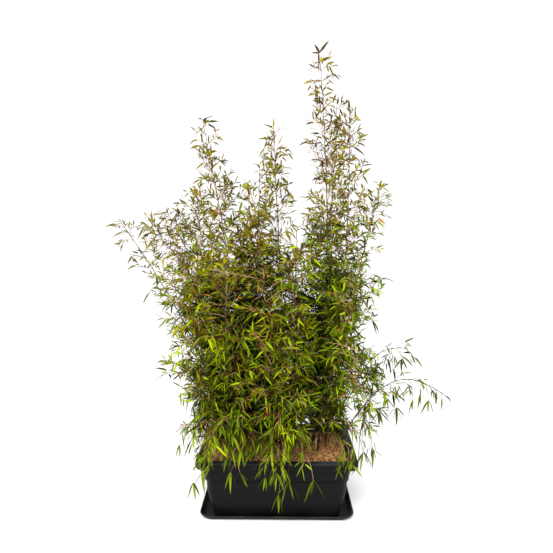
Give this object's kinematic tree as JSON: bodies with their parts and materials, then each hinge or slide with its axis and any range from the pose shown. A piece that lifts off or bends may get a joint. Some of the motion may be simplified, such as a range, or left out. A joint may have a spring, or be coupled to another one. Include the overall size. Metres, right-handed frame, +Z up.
{
  "type": "potted bamboo",
  "caption": "Clumping bamboo with dark canes and small drooping leaves, planted in a rectangular black plastic trough on a shallow saucer.",
  "frame": {"origin": "centre of the saucer's flat underside, where the plant stands on the ground", "axes": "+Z up; +X along the trough's length, to the right as seen from the front; -Y is the front"},
  "size_m": [1.3343, 0.8078, 1.784],
  "materials": {
    "trough_plastic": "matte",
    "saucer_plastic": "matte",
    "bark_chips": "matte",
    "dark_cane": "satin",
    "foliage": "matte"
  },
  "bodies": {
    "root": {"saucer": "saucer_plastic", "trough": "trough_plastic", "soil": "bark_chips", "cane_tallest": "dark_cane", "cane_tall_rear": "dark_cane", "cane_tall_right": "dark_cane", "cane_right": "dark_cane", "cane_middle": "dark_cane", "cane_middle_left": "dark_cane", "cane_left_tall": "dark_cane", "cane_left_rear": "dark_cane", "cane_left_front": "dark_cane", "cane_left_far": "dark_cane", "cane_left_back": "dark_cane", "cane_back": "dark_cane", "cane_back_right": "dark_cane", "cane_front_left": "dark_cane", "cane_front": "dark_cane", "cane_low_right": "dark_cane", "cane_low_right_rear": "dark_cane", "plume_tallest": "foliage", "plume_tall_rear": "foliage", "plume_tall_right": "foliage", "plume_right": "foliage", "plume_middle": "foliage", "plume_middle_left": "foliage", "plume_left_tall": "foliage", "plume_left_rear": "foliage", "plume_left_front": "foliage", "plume_left_far": "foliage", "plume_left_back": "foliage", "plume_back": "foliage", "plume_back_right": "foliage", "plume_front_left": "foliage", "plume_front": "foliage", "plume_low_right": "foliage", "plume_low_right_rear": "foliage", "spray_low_right": "foliage", "spray_low_back_right": "foliage", "spray_low_back": "foliage", "spray_low_back_left": "foliage", "spray_low_left": "foliage", "spray_low_front_left": "foliage", "spray_low_front": "foliage", "spray_low_front_right": "foliage", "spray_middle_right": "foliage", "spray_middle_back_right": "foliage", "spray_middle_back_left": "foliage", "spray_middle_left": "foliage", "spray_middle_front_left": "foliage", "spray_middle_front": "foliage", "spray_middle_front_right": "foliage", "spray_upper_right": "foliage", "spray_upper_back_right": "foliage", "spray_upper_back_left": "foliage", "spray_upper_front_left": "foliage", "spray_upper_front": "foliage", "spray_upper_front_right": "foliage", "spray_trailing_front": "foliage", "spray_trailing_left": "foliage"}
  },
  "joints": []
}
